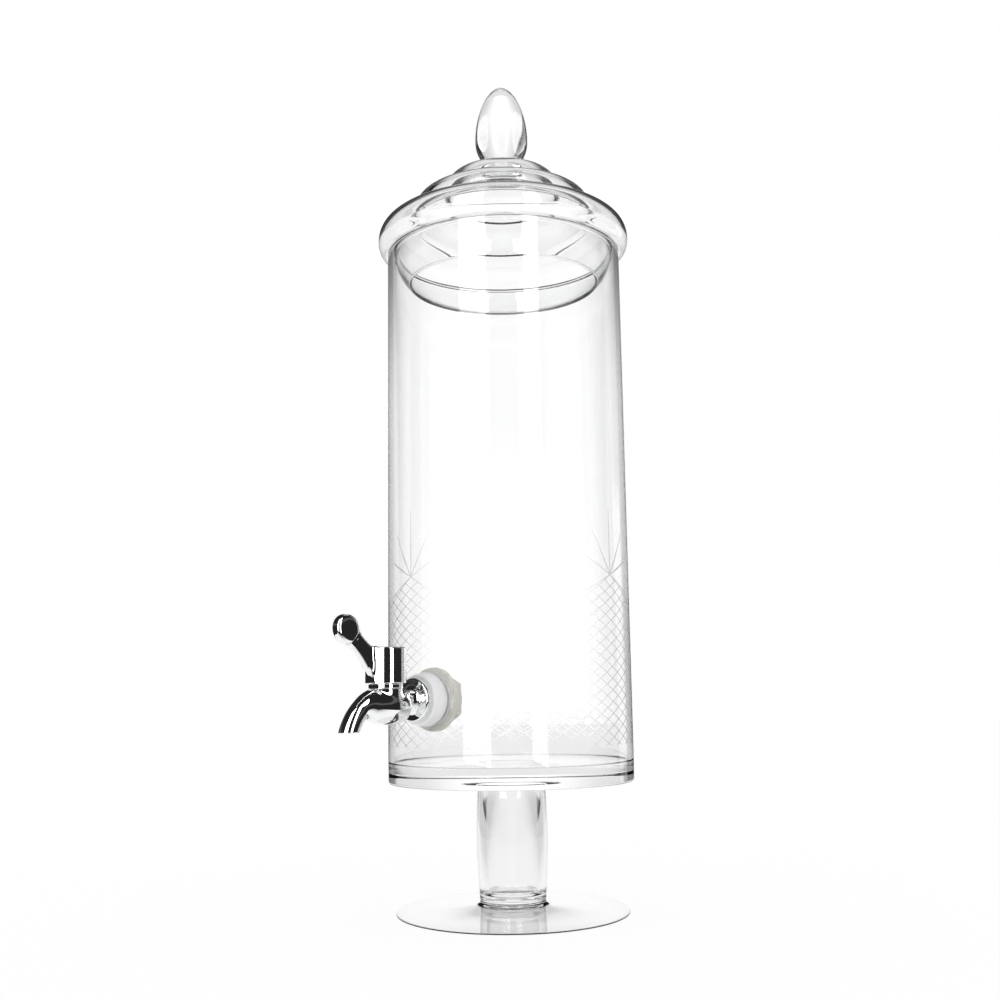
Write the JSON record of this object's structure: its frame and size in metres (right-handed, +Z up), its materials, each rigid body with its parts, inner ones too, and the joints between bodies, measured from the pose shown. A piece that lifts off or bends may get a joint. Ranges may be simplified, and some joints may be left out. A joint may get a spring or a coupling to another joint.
{
  "type": "beverage dispenser",
  "caption": "Tall clear glass drink dispenser on a stem and round foot, with a lift-off stepped lid, an egg finial and a chrome lever tap that turns to pour.",
  "frame": {"origin": "centre of the foot's flat underside", "axes": "+Z up along the jar's axis, the tap points to -Y, +X to the right when facing the tap"},
  "size_m": [0.1426, 0.1982, 0.4658],
  "materials": {
    "clear_glass": "clear polished soda-lime glass",
    "chrome": "bright chrome plate",
    "frosted_silicone": "frosted translucent silicone",
    "ivory_plastic": "moulded ivory plastic",
    "white_plastic": "machined white acetal",
    "black_rubber": "moulded nitrile rubber",
    "screw_steel": "plain stainless steel"
  },
  "bodies": {
    "stand": {"jar": "clear_glass", "stem": "clear_glass", "foot": "clear_glass", "tap_body": "chrome", "tap_flange": "chrome", "tap_shank": "chrome", "outer_washer": "frosted_silicone", "inner_washer": "frosted_silicone", "lock_nut": "ivory_plastic", "bonnet": "chrome", "thrust_washer": "white_plastic", "port_seal": "frosted_silicone"},
    "lid": {"lid_shell": "clear_glass", "lid_finial": "clear_glass"},
    "handle": {"tap_handle": "chrome", "lever_knob": "chrome", "valve_plug": "white_plastic", "plug_o_ring_lower": "black_rubber", "plug_o_ring_upper": "black_rubber", "handle_screw": "screw_steel", "screw_cover": "chrome"}
  },
  "joints": [
    {"name": "lid_lift", "type": "slide", "parent": "stand", "child": "lid", "axis": [0, 0, 1], "range_m": [0, 0.08]},
    {"name": "lever_turn", "type": "hinge", "parent": "stand", "child": "handle", "pos_m": [0, -0.0938, 0.112], "axis": [0, 0, 1], "range_deg": [0, 90]}
  ]
}
